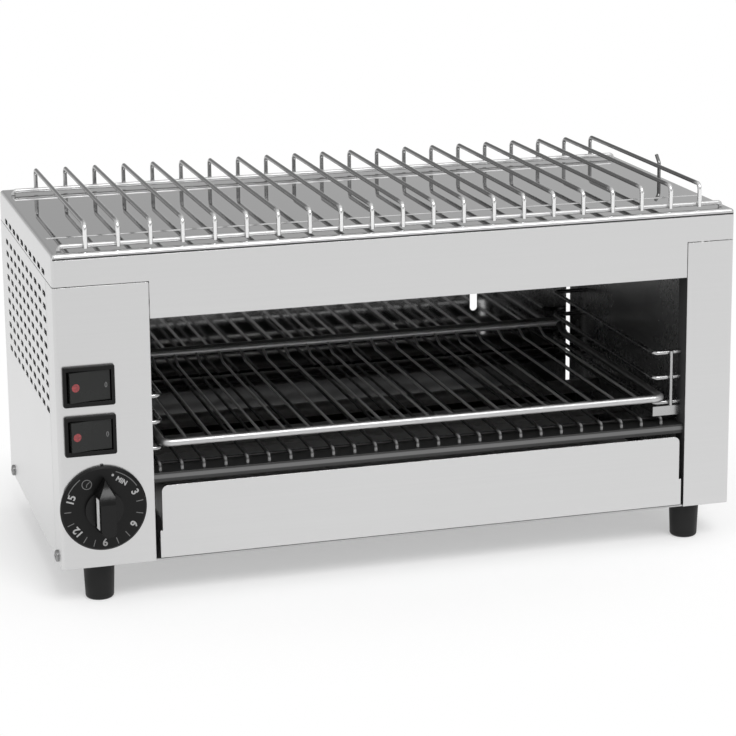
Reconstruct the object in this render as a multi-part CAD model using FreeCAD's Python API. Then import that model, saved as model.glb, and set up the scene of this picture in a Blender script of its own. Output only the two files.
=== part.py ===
import FreeCAD, Part
import math
import os

V = FreeCAD.Vector

# One-level quartz snack toaster. Millimetres, +Z up, the front looks towards -Y.
# The origin is on the standing surface, at the middle of the whole toaster's box.

# Body and sheet metal
body_width = 450.0
body_depth = 224.0
body_height = 201.0
skin = 1.0
liner = 0.8
fold_radius = 2.5
seam_drop = 20.4
seam_gap = 0.5
fascia_drop = 44.0
control_panel_width = 59.4
right_panel_width = 32.6
corner_return = 26.0
opening_return = 14.0
top_bead_setback = 50.0
top_bead_radius = 1.2
top_bead_height = 0.5
top_bead_margin = 5.0
hem_groove_drop = 2.7
hem_groove_height = 1.1
hem_groove_depth = 0.5

# Base pan and feet
pan_flange = 12.0
foot_height = 25.0
foot_diameter = 20.0
foot_taper = 1.0
foot_edge_radius = 2.0
foot_inset_x = 25.4
foot_inset_y = 16.0
foot_screw_depth = 14.0

# Ventilation slots of the sides and the top cover's skirt
vent_columns = 10
vent_rows = 10
vent_slot_length = 12.0
vent_slot_height = 3.6
vent_pitch_z = 8.3
vent_front_inset = 34.0
vent_rear_inset = 28.9
vent_to_seam = 10.5
skirt_vent_drop = 17.0

# Oven cavity
cavity_to_rear = 18.0
roof_to_top = 11.0
shield_gap = 13.8
back_slot_width = 3.2
back_slot_inset = 5.9
back_slot_bottom = 27.8
back_slot_top = 125.0
peep_slot_width = 5.6
peep_slot_inset = 79.6
peep_slot_bottom = 93.6
peep_slot_top = 116.0
sight_window_extra = 10.0
front_rail_height = 56.5
front_rail_drop = 6.0
front_rail_setback = 3.0
front_rail_depth = 17.0

# Quartz tubes and their guards
tube_diameter = 10.0
tube_wall = 1.0
tube_inset_y = 45.0
tubes_per_bank = 3
tube_to_roof = 16.0
lower_tube_height = 43.0
coil_diameter = 5.5
cap_diameter = 15.0
cap_length = 12.0
cap_floor = 1.6
strap_width = 8.0
strap_thickness = 0.8
guard_wire_diameter = 2.0
guard_rod_diameter = 2.0
guard_inset = 6.6
guard_front = 8.0
guard_to_liner = 4.0
guard_rod_inset = 9.0
upper_guard_to_tube = 11.0
upper_guard_wire_count = 13
lower_guard_wire_count = 25
guard_bend = 2.4
guard_rod_lift = 1.0

# Runners and toast rack
runner_diameter = 3.0
runner_bend = 4.0
runner_heights = (71.0, 88.0, 105.0)
runner_front = 9.0
runner_to_liner = 9.0
left_runner_reach = 8.1
right_runner_reach = 20.4
post_diameter = 2.5
post_inset = 7.8
stop_plate_bottom = 62.0
stop_plate_height = 6.4
rack_bar_diameter = 5.0
rack_wire_diameter = 1.8
rack_rear_bar_diameter = 4.0
rack_bend = 6.0
rack_front = 4.0
rack_rise_run = 14.0
rack_to_liner = 5.0
rack_rise = 5.5
rack_side_overlap = 5.0
rack_wires_count = 20

# Crumb tray
tray_front_height = 47.2
tray_front_lift = 1.7
tray_front_step = 17.8
tray_front_step_out = 1.6
tray_front_corner = 4.0
tray_left_gap = 4.7
tray_right_gap = 3.6
tray_pan_inset = 2.1
tray_pan_to_liner = 8.0
tray_pan_height = 21.0
tray_guide_height = 8.0

# Timer, its dial and knob
timer_inset_x = 26.8
timer_height = 38.6
dial_diameter = 54.4
dial_thickness = 3.0
dial_bevel = 1.2
dial_bore = 19.0
dial_tab = 1.8
bush_diameter = 10.0
bush_nut_diameter = 16.0
bush_nut_thickness = 2.2
timer_body_side = 30.0
timer_body_depth = 34.0
shaft_diameter = 6.0
shaft_in_body = 13.0
knob_boss_diameter = 24.0
knob_boss_height = 2.0
grip_height = 14.1
grip_width = 13.0
grip_tip = 21.0
grip_tail = 15.5
grip_draft = 1.8
grip_ramp_top = 7.0
grip_ramp_foot = 3.0
grip_ramp_bulge = 1.8

# Rocker switches
switch_inset_x = 20.3
dial_to_switch = 7.3
switch_gap = 5.8
bezel_width = 32.4
bezel_height = 25.8
bezel_proud = 2.2
bezel_round = 1.5
switch_body_width = 29.8
switch_body_height = 21.8
switch_body_depth = 20.0
switch_mouth_width = 27.8
switch_mouth_height = 19.8
rocker_height = 19.0
rocker_half_width = 13.0
rocker_crest = 4.4
rocker_valley = 3.2
rocker_back = 1.6
rocker_reach = 13.5
rocker_tilt = 9.0
rocker_pin_diameter = 2.4
rocker_pin_length = 1.1
pivot_depth = 1.8
rocker_pocket_floor = 4.8
lens_diameter = 5.2
lens_offset = 9.3
lens_depth = 1.2

# Plate grill on the top cover
grill_wire_diameter = 2.8
grill_rod_diameter = 3.0
grill_wires_count = 21
grill_side_inset = 22.5
grill_height = 16.4
grill_bend = 4.0
grill_leg_lift = 1.2
grill_rod_height = 2.8
grill_rod_bend = 2.0
grill_rod_inset = 6.5
grill_front_setback = 9.5
grill_rear_inset = 23.0
hook_diameter = 2.5
hook_inset = 5.7
hook_setback = 114.5
hook_rise = 11.0
hook_lean = 5.0
hook_bend = 4.0

# Supply side: gland, terminal block, earth stud and wires
gland_inset_x = 28.0
gland_height = 32.0
gland_body_diameter = 16.0
gland_flange_diameter = 22.0
gland_flange = 3.0
gland_snout_diameter = 14.0
gland_proud = 8.0
gland_bore = 8.0
gland_collar = 4.0
block_length = 36.0
block_width = 18.0
block_height = 16.0
block_inset_x = 10.0
block_to_foot_screw = 18.2
earth_inset_x = 34.0
earth_to_block = 20.0
earth_diameter = 5.0
earth_length = 14.0
earth_nut_diameter = 9.0
earth_nut_height = 4.0
wire_diameter = 2.6
wire_bend = 6.0
wire_height = 10.0

# Fasteners
screw_head_diameter = 7.6
screw_head_height = 2.0
screw_shank_diameter = 3.5
screw_shank_length = 6.0
side_screw_height = 4.2
side_screw_inset = 17.0
side_flange = 12.0
back_screw_height = 90.0
back_screw_to_seam = 15.6
cover_screw_drop = 11.0
foot_screw_head_height = 2.5

# Clearances
running_clearance = 0.05
slide_clearance = 0.3
fit_clearance = 0.2
tray_floor_clearance = 0.3

# Places worked out from the sizes above
half_width = body_width / 2
knob_proud = dial_thickness + slide_clearance + knob_boss_height + grip_height
y_front = (knob_proud - body_depth - gland_proud) / 2
y_rear = y_front + body_depth
z_base = foot_height
z_top = z_base + body_height
z_seam = z_top - seam_drop
z_fascia = z_top - fascia_drop
x_left_panel = -half_width + control_panel_width
x_right_panel = half_width - right_panel_width
x_left_wall = x_left_panel - skin
x_right_wall = x_right_panel + skin
cavity_depth = body_depth - cavity_to_rear
y_liner = y_front + cavity_depth
z_roof = z_top - roof_to_top - liner
z_floor = z_base + skin
upper_tube_height = body_height - roof_to_top - tube_to_roof
x_runner_left = x_left_wall + left_runner_reach
x_runner_right = x_right_wall - right_runner_reach
z_rack = z_base + runner_heights[0] + (runner_diameter + rack_bar_diameter) / 2 + slide_clearance
x_timer = -half_width + timer_inset_x
z_timer = z_base + timer_height
lower_switch_height = timer_height + dial_diameter / 2 + dial_to_switch + bezel_height / 2
upper_switch_height = lower_switch_height + bezel_height + switch_gap
x_switch = -half_width + switch_inset_x
y_pivot = y_front + pivot_depth
y_block = y_rear - foot_inset_y - screw_head_diameter / 2 - block_to_foot_screw - block_length
y_guard_rear = y_liner - guard_to_liner
y_knob_back = y_front - dial_thickness - slide_clearance


def block(x0, x1, y0, y1, z0, z1):
    """A box between two opposite corners."""
    return Part.makeBox(x1 - x0, y1 - y0, z1 - z0, V(x0, y0, z0))


def rod(start, end, diameter):
    """A round bar from one point to another."""
    along = end - start
    return Part.makeCylinder(diameter / 2, along.Length, start, along)


def ring(centre, direction, outer, inner, length):
    """A tube that starts at centre and runs along direction."""
    body = Part.makeCylinder(outer / 2, length, centre, direction)
    return body.cut(Part.makeCylinder(inner / 2, length, centre, direction))


def bent_wire(points, diameter, bend):
    """A round wire along straight runs joined by arcs of radius bend."""
    edges = []
    cursor = points[0]
    for before, corner, after in zip(points, points[1:], points[2:]):
        into = (corner - before).normalize()
        out = (after - corner).normalize()
        turn = into.getAngle(out)
        setback = bend * math.tan(turn / 2)
        start = corner - into * setback
        end = corner + out * setback
        inward = (out - into).normalize()
        centre = corner + inward * (bend / math.cos(turn / 2))
        edges.append(Part.LineSegment(cursor, start).toShape())
        edges.append(Part.Arc(start, centre - inward * bend, end).toShape())
        cursor = end
    edges.append(Part.LineSegment(cursor, points[-1]).toShape())
    profile = Part.Wire(Part.makeCircle(diameter / 2, points[0], points[1] - points[0]))
    return Part.Wire(edges).makePipeShell([profile], True, False)


def slot_outline(centre, along, across, length, height):
    """The outline of a slot with round ends."""
    radius = height / 2
    reach = along * (length / 2 - radius)
    side = across * radius
    edges = [
        Part.LineSegment(centre - reach + side, centre + reach + side).toShape(),
        Part.Arc(centre + reach + side, centre + reach + along * radius, centre + reach - side).toShape(),
        Part.LineSegment(centre + reach - side, centre - reach - side).toShape(),
        Part.Arc(centre - reach - side, centre - reach - along * radius, centre - reach + side).toShape(),
    ]
    return Part.Wire(edges)


def pierced_sheet(corners, holes, thickness):
    """A flat sheet through the corner points, with the hole outlines left open."""
    outline = Part.makePolygon(corners + corners[:1])
    face = Part.makeFace([outline] + holes, "Part::FaceMakerBullseye")
    return face.extrude(thickness)


def evenly(first, last, count):
    """count places from first to last, both included."""
    return [first + (last - first) * i / (count - 1) for i in range(count)]


def edges_where(shape, test):
    """The straight edges of a shape whose two ends both pass the test."""
    return [e for e in shape.Edges if all(test(v.Point) for v in e.Vertexes)]


def near(a, b):
    """True where two measures agree."""
    return abs(a - b) < 1e-6


def pan_screw(seat, inward, shank_length, head_height, head_diameter):
    """A screw with a rounded head that stands on seat, its shank running inward."""
    head = Part.makeCylinder(head_diameter / 2, head_height, seat, inward * -1)
    top = [e for e in head.Edges if near((e.CenterOfMass - seat).dot(inward), -head_height)]
    head = head.makeFillet(head_height * 0.6, top)
    shank = Part.makeCylinder(screw_shank_diameter / 2, shank_length, seat, inward)
    return head.fuse(shank).removeSplitter()


def screw_hole(seat, inward, depth):
    """The clear hole that a screw's shank goes through."""
    return Part.makeCylinder(screw_shank_diameter / 2, depth, seat - inward, inward)


def mirrored(shape):
    """The same shape on the other side of the toaster's middle plane."""
    return shape.mirror(V(0, 0, 0), V(1, 0, 0))


def side_screw_seats(side):
    """The seats of the screws low on one side: side is -1 on the left and 1 on the right."""
    x = side * half_width
    places = (y_front + side_screw_inset, y_rear - side_screw_inset)
    return [V(x, y, z_base + side_screw_height) for y in places]


def back_screw_seats():
    """The seats of the screws that hold the back panel to the side panels' flanges."""
    x = half_width - skin - side_flange / 2
    heights = (z_base + back_screw_height, z_seam - back_screw_to_seam)
    return [V(side * x, y_rear, z) for z in heights for side in (-1, 1)]


def cover_screw_seats():
    """The seats of the screws in the top cover's rear skirt."""
    x = half_width - skin - side_flange / 2
    return [V(side * x, y_rear, z_top - cover_screw_drop) for side in (-1, 1)]


def foot_places():
    """The four foot centres, by name."""
    places = {}
    for row, y in (("front", y_front + foot_inset_y), ("rear", y_rear - foot_inset_y)):
        for hand, x in (("left", -half_width + foot_inset_x), ("right", half_width - foot_inset_x)):
            places[f"foot_{row}_{hand}"] = V(x, y, z_base)
    return places


def rounded_box(x0, x1, y0, y1, z0, z1, radius):
    """A box with its upper edges and its upright corners rounded."""
    box = block(x0, x1, y0, y1, z0, z1)
    upper = edges_where(box, lambda p: near(p.z, z1))
    upright = [e for e in box.Edges if near(e.tangentAt(e.FirstParameter).getAngle(V(0, 0, 1)) % math.pi, 0)]
    return box.makeFillet(radius, upper + upright)


def top_cover():
    """The top plate with its skirt, the groove under its front fold and the fascia over the opening."""
    outer = rounded_box(-half_width, half_width, y_front, y_rear, z_seam, z_top, fold_radius)
    inner = rounded_box(
        -half_width + skin, half_width - skin,
        y_front + skin, y_rear - skin,
        z_seam, z_top - skin, fold_radius - skin,
    )
    fascia = block(
        x_left_panel + seam_gap, x_right_panel - seam_gap,
        y_front, y_front + skin,
        z_fascia, z_seam + skin,
    )
    cover = outer.cut(inner).fuse(fascia)
    bead_end = half_width - top_bead_margin
    y_bead = y_front + top_bead_setback
    z_bead = z_top + top_bead_height - top_bead_radius
    bead = rod(V(-bead_end, y_bead, z_bead), V(bead_end, y_bead, z_bead), top_bead_radius * 2)
    under_plate = block(-half_width, half_width, y_front, y_rear, z_seam, z_top - skin / 2)
    cover = cover.fuse(bead.cut(under_plate)).removeSplitter()
    z_groove = z_top - hem_groove_drop
    cutters = [block(-half_width, half_width, y_front, y_front + hem_groove_depth,
                     z_groove - hem_groove_height, z_groove)]
    for y in vent_column_places():
        for x in (-half_width, half_width):
            centre = V(x - skin * 2, y, z_top - skirt_vent_drop)
            outline = slot_outline(centre, V(0, 1, 0), V(0, 0, 1), vent_slot_length, vent_slot_height)
            cutters.append(Part.Face(outline).extrude(V(skin * 4, 0, 0)))
    for seat in cover_screw_seats():
        cutters.append(screw_hole(seat, V(0, -1, 0), skin * 3))
    return cover.cut(Part.makeCompound(cutters))


def vent_column_places():
    """The middle of each slot along the depth."""
    return evenly(y_front + vent_front_inset, y_rear - vent_rear_inset, vent_columns)


def front_post(width):
    """The left-hand front post: a face with an outer return and a shorter inner one."""
    x0 = -half_width
    x1 = -half_width + width
    z1 = z_seam - seam_gap
    outer = block(x0, x1, y_front, y_front + corner_return, z_base, z1)
    inner = block(x0 + skin, x1 - skin, y_front + skin, y_front + corner_return, z_base, z1)
    outer_fold = edges_where(outer, lambda p: near(p.x, x0) and near(p.y, y_front))
    inner_fold = edges_where(inner, lambda p: near(p.x, x0 + skin) and near(p.y, y_front + skin))
    outer = outer.makeFillet(fold_radius, outer_fold)
    inner = inner.makeFillet(fold_radius - skin, inner_fold)
    post = outer.cut(inner)
    post = post.cut(block(x1 - skin, x1, y_front + opening_return, y_front + corner_return, z_base, z1))
    post = post.cut(block(x1 - skin, x1, y_front + skin, y_front + opening_return, z_base, z_floor))
    holes = [screw_hole(seat, V(1, 0, 0), skin * 3) for seat in side_screw_seats(-1)]
    return post.cut(Part.makeCompound(holes))


def control_panel():
    """The left front post with the cut-outs for two switches and the timer."""
    cutters = []
    for height in (upper_switch_height, lower_switch_height):
        cutters.append(block(
            x_switch - switch_body_width / 2 - fit_clearance,
            x_switch + switch_body_width / 2 + fit_clearance,
            y_front - skin, y_front + skin * 2,
            z_base + height - switch_body_height / 2 - fit_clearance,
            z_base + height + switch_body_height / 2 + fit_clearance,
        ))
    bush = V(x_timer, y_front - skin, z_timer)
    cutters.append(rod(bush, bush + V(0, skin * 3, 0), bush_diameter + fit_clearance * 2))
    return front_post(control_panel_width).cut(Part.makeCompound(cutters))


def side_panel():
    """The left side panel: a slotted sheet with a flange along its rear edge."""
    y0 = y_front + corner_return + seam_gap
    z1 = z_seam - seam_gap
    corners = [V(-half_width, y0, z_base), V(-half_width, y_rear, z_base)]
    corners += [V(-half_width, y_rear, z1), V(-half_width, y0, z1)]
    holes = []
    for y in vent_column_places():
        for row in range(vent_rows):
            centre = V(-half_width, y, z_seam - vent_to_seam - vent_pitch_z * row)
            holes.append(slot_outline(centre, V(0, 1, 0), V(0, 0, 1), vent_slot_length, vent_slot_height))
    sheet = pierced_sheet(corners, holes, V(skin, 0, 0))
    flange = block(
        -half_width + skin, -half_width + skin + side_flange,
        y_rear - skin * 2, y_rear - skin,
        z_floor + pan_flange + seam_gap, z_top - skin - fold_radius,
    )
    corner_relief = block(
        -half_width + skin, -half_width + fold_radius,
        y_rear - skin * 2, y_rear - skin, z_seam - seam_gap, z_top,
    )
    cutters = [corner_relief]
    cutters += [screw_hole(seat, V(1, 0, 0), skin * 3) for seat in side_screw_seats(-1)]
    cutters += [screw_hole(seat, V(0, -1, 0), skin * 4) for seat in back_screw_seats() + cover_screw_seats()]
    return sheet.fuse(flange).cut(Part.makeCompound(cutters))


def sight_slot(x, bottom, top, width, y, depth):
    """An upright round-ended slot through a sheet that stands at y."""
    centre = V(x, y, z_base + (bottom + top) / 2)
    outline = slot_outline(centre, V(0, 0, 1), V(1, 0, 0), top - bottom, width)
    return Part.Face(outline).extrude(V(0, depth, 0))


def back_slot_places():
    """The upright slots beside the cavity's two rear corners."""
    return (x_left_wall + back_slot_inset, x_right_wall - back_slot_inset)


def back_panel():
    """The outer rear sheet, with windows behind the liner's slots and the gland's hole."""
    y0 = y_rear - skin
    panel = block(-half_width + skin, half_width - skin, y0, y_rear, z_base, z_seam - seam_gap)
    cutters = []
    window = back_slot_width + sight_window_extra
    for x in back_slot_places():
        cutters.append(sight_slot(x + sight_window_extra / 2, back_slot_bottom - window / 2,
                                  back_slot_top, window, y0 - skin, skin * 3))
    cutters.append(sight_slot(x_right_wall - peep_slot_inset + sight_window_extra / 2,
                              peep_slot_bottom - sight_window_extra, peep_slot_top,
                              peep_slot_width + sight_window_extra, y0 - skin, skin * 3))
    gland = V(-half_width + gland_inset_x, y0 - skin, z_base + gland_height)
    cutters.append(rod(gland, gland + V(0, skin * 3, 0), gland_body_diameter + fit_clearance * 2))
    for seat in back_screw_seats():
        cutters.append(screw_hole(seat, V(0, -1, 0), skin * 4))
    return panel.cut(Part.makeCompound(cutters))


def base_pan():
    """The floor sheet with its upturned flanges, open at the front for the crumb tray."""
    x1 = half_width - skin
    y0 = y_front + skin
    y1 = y_rear - skin
    pan = block(-x1, x1, y0, y1, z_base, z_floor + pan_flange)
    pan = pan.cut(block(-x1 + skin, x1 - skin, y0 + skin, y1 - skin, z_floor, z_floor + pan_flange))
    pan = pan.cut(block(x_left_wall - liner * 2, x_right_wall + liner * 2, y0, y0 + skin,
                        z_floor, z_floor + pan_flange))
    clearance = fold_radius
    for side in (-1, 1):
        corner = side * x1
        pan = pan.cut(block(min(corner, corner - side * clearance), max(corner, corner - side * clearance),
                            y0, y0 + clearance, z_base, z_floor + pan_flange))
    cutters = []
    for centre in foot_places().values():
        cutters.append(Part.makeCylinder(screw_shank_diameter / 2, skin * 3, centre - V(0, 0, skin)))
    for side in (-1, 1):
        for seat in side_screw_seats(side):
            cutters.append(screw_hole(seat, V(-side, 0, 0), skin * 4))
    return pan.cut(Part.makeCompound(cutters))


def cavity_side_wall(x0):
    """One cavity side liner, pierced for the tube ends."""
    wall = block(x0, x0 + liner, y_front + skin, y_liner, z_floor, z_roof)
    holes = []
    for y in tube_places():
        for height in (upper_tube_height, lower_tube_height):
            place = V(x0 - liner, y, z_base + height)
            holes.append(rod(place, place + V(liner * 3, 0, 0), tube_diameter + fit_clearance * 2))
    return wall.cut(Part.makeCompound(holes))


def cavity_back_wall():
    """The cavity's rear liner, with its upright slots."""
    wall = block(x_left_wall - liner, x_right_wall + liner, y_liner, y_liner + liner, z_floor, z_roof)
    cutters = []
    for x in back_slot_places():
        cutters.append(sight_slot(x, back_slot_bottom, back_slot_top, back_slot_width,
                                  y_liner - liner, liner * 3))
    cutters.append(sight_slot(x_right_wall - peep_slot_inset, peep_slot_bottom, peep_slot_top,
                              peep_slot_width, y_liner - liner, liner * 3))
    return wall.cut(Part.makeCompound(cutters))


def cavity_roof():
    """The reflector above the upper tubes."""
    return block(x_left_wall - liner, x_right_wall + liner, y_front + skin, y_liner + liner,
                 z_roof, z_roof + liner)


def heat_shield():
    """The sheet between the cavity and the control space."""
    x1 = x_left_wall - liner - shield_gap
    return block(x1 - liner, x1, y_front + corner_return / 4, y_liner + liner, z_floor, z_seam - seam_gap)


def lower_front_rail():
    """The angle that closes the cavity's front above the crumb tray."""
    z1 = z_base + front_rail_height
    y0 = y_front + front_rail_setback
    top = block(x_left_panel, x_right_panel, y0, y0 + front_rail_depth, z1 - liner, z1)
    face = block(x_left_panel, x_right_panel, y0, y0 + liner, z1 - front_rail_drop, z1)
    return top.fuse(face).removeSplitter()


def tube_places():
    """The middle of each tube of a bank along the depth."""
    return evenly(y_front + tube_inset_y, y_liner - tube_inset_y, tubes_per_bank)


def tube_ends():
    """Where the quartz tubes start and stop, inside their ceramic caps."""
    return (x_left_wall - liner - cap_length + cap_floor, x_right_wall + liner + cap_length - cap_floor)


def quartz_tube(y, height):
    """One quartz tube across the cavity."""
    x0, x1 = tube_ends()
    return ring(V(x0, y, z_base + height), V(1, 0, 0),
                tube_diameter, tube_diameter - tube_wall * 2, x1 - x0)


def heating_coils(height):
    """The coils inside one bank of tubes, as their outer shape."""
    x0, x1 = tube_ends()
    coils = []
    for y in tube_places():
        start = V(x0, y, z_base + height)
        coils.append(rod(start, start + V(x1 - x0, 0, 0), coil_diameter))
    return Part.makeCompound(coils)


def tube_end_caps():
    """The ceramic caps on both ends of every tube."""
    caps = []
    for y in tube_places():
        for height in (upper_tube_height, lower_tube_height):
            z = z_base + height
            for x_face, out in ((x_left_wall - liner, -1), (x_right_wall + liner, 1)):
                face = V(x_face, y, z)
                body = Part.makeCylinder(cap_diameter / 2, cap_length, face, V(out, 0, 0))
                bore = Part.makeCylinder(tube_diameter / 2, cap_length - cap_floor, face, V(out, 0, 0))
                caps.append(body.cut(bore))
    return Part.makeCompound(caps)


def terminal_straps():
    """The flat conductors that join the ends of each bank of tubes."""
    straps = []
    y0 = tube_places()[0] - strap_width / 2
    y1 = tube_places()[-1] + strap_width / 2
    for height in (upper_tube_height, lower_tube_height):
        z0 = z_base + height - strap_width / 2
        left = x_left_wall - liner - cap_length
        right = x_right_wall + liner + cap_length
        straps.append(block(left - strap_thickness, left, y0, y1, z0, z0 + strap_width))
        straps.append(block(right, right + strap_thickness, y0, y1, z0, z0 + strap_width))
    return Part.makeCompound(straps)


def guard_wire_places(count):
    """The places of a guard's wires across the cavity."""
    return evenly(x_left_wall + guard_inset, x_right_wall - guard_inset - left_runner_reach, count)


def guard_rods(z):
    """The two cross rods of a guard, from wall to wall."""
    places = (y_front + guard_front + guard_rod_inset, y_guard_rear - guard_rod_inset)
    return [rod(V(x_left_wall, y, z), V(x_right_wall, y, z), guard_rod_diameter) for y in places]


def upper_tube_guard():
    """The wire guard under the upper tubes."""
    z_rod = z_base + upper_tube_height - upper_guard_to_tube
    z_wire = z_rod - (guard_rod_diameter + guard_wire_diameter) / 2
    parts = guard_rods(z_rod)
    for x in guard_wire_places(upper_guard_wire_count):
        parts.append(rod(V(x, y_front + guard_front, z_wire), V(x, y_guard_rear, z_wire),
                         guard_wire_diameter))
    return Part.makeCompound(parts)


def lower_tube_guard():
    """The wire guard over the lower tubes, its wires turned down at the front onto the rail."""
    z_rail = z_base + front_rail_height
    z_rod = z_rail + guard_rod_lift + guard_rod_diameter / 2
    z_wire = z_rod + (guard_rod_diameter + guard_wire_diameter) / 2
    parts = guard_rods(z_rod)
    for x in guard_wire_places(lower_guard_wire_count):
        y0 = y_front + guard_front
        points = [V(x, y0, z_rail), V(x, y0, z_wire), V(x, y_guard_rear, z_wire)]
        parts.append(bent_wire(points, guard_wire_diameter, guard_bend))
    return Part.makeCompound(parts)


def runner(x_flange, x_wall, x_inner):
    """Three staple-shaped rails, one above the other."""
    rails = []
    y0 = y_front + runner_front
    y1 = y_liner - runner_to_liner
    for height in runner_heights:
        z = z_base + height
        points = [V(x_flange, y0, z), V(x_inner, y0, z), V(x_inner, y1, z), V(x_wall, y1, z)]
        rails.append(bent_wire(points, runner_diameter, runner_bend))
    return rails


def runner_post():
    """The upright wire that ties the fronts of the right-hand rails."""
    x = x_right_panel - post_inset
    y = y_front + runner_front - (runner_diameter + post_diameter) / 2
    z0 = z_base + runner_heights[0] - runner_diameter / 2
    z1 = z_base + runner_heights[-1] + runner_diameter / 2
    return rod(V(x, y, z0), V(x, y, z1), post_diameter)


def stop_plate():
    """The small flat plate under the fronts of the right-hand rails."""
    y = y_front + runner_front
    z0 = z_base + stop_plate_bottom
    return block(x_runner_right, x_right_panel, y - liner / 2, y + liner / 2, z0, z0 + stop_plate_height)


def rack_rise_ends():
    """The low and high ends of the rack's rear rise, and the rear bar's centre, as y and z."""
    bar = V(0, y_liner - rack_to_liner, z_rack + rack_rise)
    low = V(0, bar.y - rack_rise_run, z_rack)
    slope = (bar - low).normalize()
    return low, bar - slope * (rack_rear_bar_diameter / 2), bar


def rack_side_places():
    """Where the rack's two side wires run."""
    return x_runner_left, x_runner_right + rack_side_overlap


def rack_frame():
    """The heavy wire round the rack's front and sides."""
    low, high, _ = rack_rise_ends()
    x0, x1 = rack_side_places()
    y0 = y_front + rack_front
    points = [V(x0, high.y, high.z), V(x0, low.y, low.z), V(x0, y0, z_rack)]
    points += [V(x1, y0, z_rack), V(x1, low.y, low.z), V(x1, high.y, high.z)]
    return bent_wire(points, rack_bar_diameter, rack_bend)


def rack_wires():
    """The thin wires that carry the toast."""
    low, high, _ = rack_rise_ends()
    x0, x1 = rack_side_places()
    y0 = y_front + rack_front + rack_bar_diameter / 2
    wires = []
    for x in evenly(x0, x1, rack_wires_count + 2)[1:-1]:
        points = [V(x, y0, z_rack), V(x, low.y, low.z), V(x, high.y, high.z)]
        wires.append(bent_wire(points, rack_wire_diameter, rack_bend))
    return Part.makeCompound(wires)


def rack_rear_bar():
    """The raised bar along the rack's rear."""
    _, _, bar = rack_rise_ends()
    x0, x1 = rack_side_places()
    reach = V(rack_bar_diameter / 2, 0, 0)
    return rod(V(x0, bar.y, bar.z) - reach, V(x1, bar.y, bar.z) + reach, rack_rear_bar_diameter)


def tray_sides():
    """The left and right edges of the crumb tray's front above its step."""
    return x_left_panel + tray_left_gap, x_right_panel - tray_right_gap


def crumb_tray_front():
    """The tray's front plate, wider below its step."""
    x0, x1 = tray_sides()
    z0 = z_base + tray_front_lift
    z1 = z0 + tray_front_height
    upper = block(x0, x1, y_front, y_front + skin, z0, z1)
    corners = edges_where(upper, lambda p: near(p.z, z1) and (near(p.x, x0) or near(p.x, x1)))
    corners = [e for e in corners if near(e.Length, skin)]
    upper = upper.makeFillet(tray_front_corner, corners)
    lower = block(x0 - tray_front_step_out, x1 + tray_front_step_out, y_front, y_front + skin,
                  z0, z0 + tray_front_step)
    return upper.fuse(lower).removeSplitter()


def crumb_tray_pan():
    """The open pan behind the tray's front plate."""
    x0, x1 = tray_sides()
    x0 += tray_pan_inset
    x1 -= tray_pan_inset
    y0 = y_front + skin
    z0 = z_floor + tray_floor_clearance
    y1 = y_liner - tray_pan_to_liner
    outer = block(x0, x1, y0, y1, z0, z0 + tray_pan_height)
    inner = block(x0 + liner, x1 - liner, y0 + liner, y1 - liner,
                  z0 + liner, z0 + tray_pan_height)
    return outer.cut(inner)


def tray_guides():
    """The two strips on the floor that keep the tray straight."""
    x0, x1 = tray_sides()
    x0 += tray_pan_inset - slide_clearance
    x1 -= tray_pan_inset - slide_clearance
    y0 = y_front + opening_return + front_rail_setback
    y1 = y_liner - tray_pan_to_liner - slide_clearance
    z1 = z_floor + tray_guide_height
    left = block(x0 - liner, x0, y0, y1, z_floor, z1)
    right = block(x1, x1 + liner, y0, y1, z_floor, z1)
    return Part.makeCompound([left, right])


def foot(centre):
    """A tapered rubber foot with a blind hole for its screw."""
    top = foot_diameter / 2
    body = Part.makeCone(top - foot_taper, top, foot_height, centre - V(0, 0, foot_height))
    rim = [e for e in body.Edges if near(e.CenterOfMass.z, centre.z - foot_height)]
    body = body.makeFillet(foot_edge_radius, rim)
    hole = Part.makeCylinder(screw_shank_diameter / 2, foot_screw_depth, centre - V(0, 0, foot_screw_depth))
    return body.cut(hole)


def foot_screws():
    """The screws that hold the feet, their heads inside the base pan."""
    seats = [centre + V(0, 0, skin) for centre in foot_places().values()]
    length = foot_screw_depth + skin
    return Part.makeCompound([
        pan_screw(seat, V(0, 0, -1), length, foot_screw_head_height, screw_head_diameter) for seat in seats
    ])


def side_screws():
    """The screws low on the two sides."""
    screws = []
    for side in (-1, 1):
        for seat in side_screw_seats(side):
            screws.append(pan_screw(seat, V(-side, 0, 0), screw_shank_length,
                                    screw_head_height, screw_head_diameter))
    return Part.makeCompound(screws)


def back_screws():
    """The screws of the back panel and of the top cover's rear skirt."""
    return Part.makeCompound([
        pan_screw(seat, V(0, -1, 0), screw_shank_length, screw_head_height, screw_head_diameter)
        for seat in back_screw_seats() + cover_screw_seats()
    ])


def timer_dial():
    """The round dial plate with its bevelled rim and a small index tab on top."""
    centre = V(x_timer, y_front, z_timer)
    plate = Part.makeCylinder(dial_diameter / 2, dial_thickness, centre, V(0, -1, 0))
    rim = [e for e in plate.Edges if near(e.CenterOfMass.y, y_front - dial_thickness)]
    plate = plate.makeChamfer(dial_bevel, rim)
    z1 = z_timer + dial_diameter / 2
    tab = block(x_timer - dial_tab / 2, x_timer + dial_tab / 2, y_front - dial_bevel, y_front,
                z1 - dial_tab, z1 + dial_tab / 2)
    hole = Part.makeCylinder(dial_bore / 2, dial_thickness, centre, V(0, -1, 0))
    return plate.fuse(tab).cut(hole).removeSplitter()


def timer_nut():
    """The ring nut that holds the timer to the panel."""
    return ring(V(x_timer, y_front, z_timer), V(0, -1, 0),
                bush_nut_diameter, bush_diameter, bush_nut_thickness)


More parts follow.
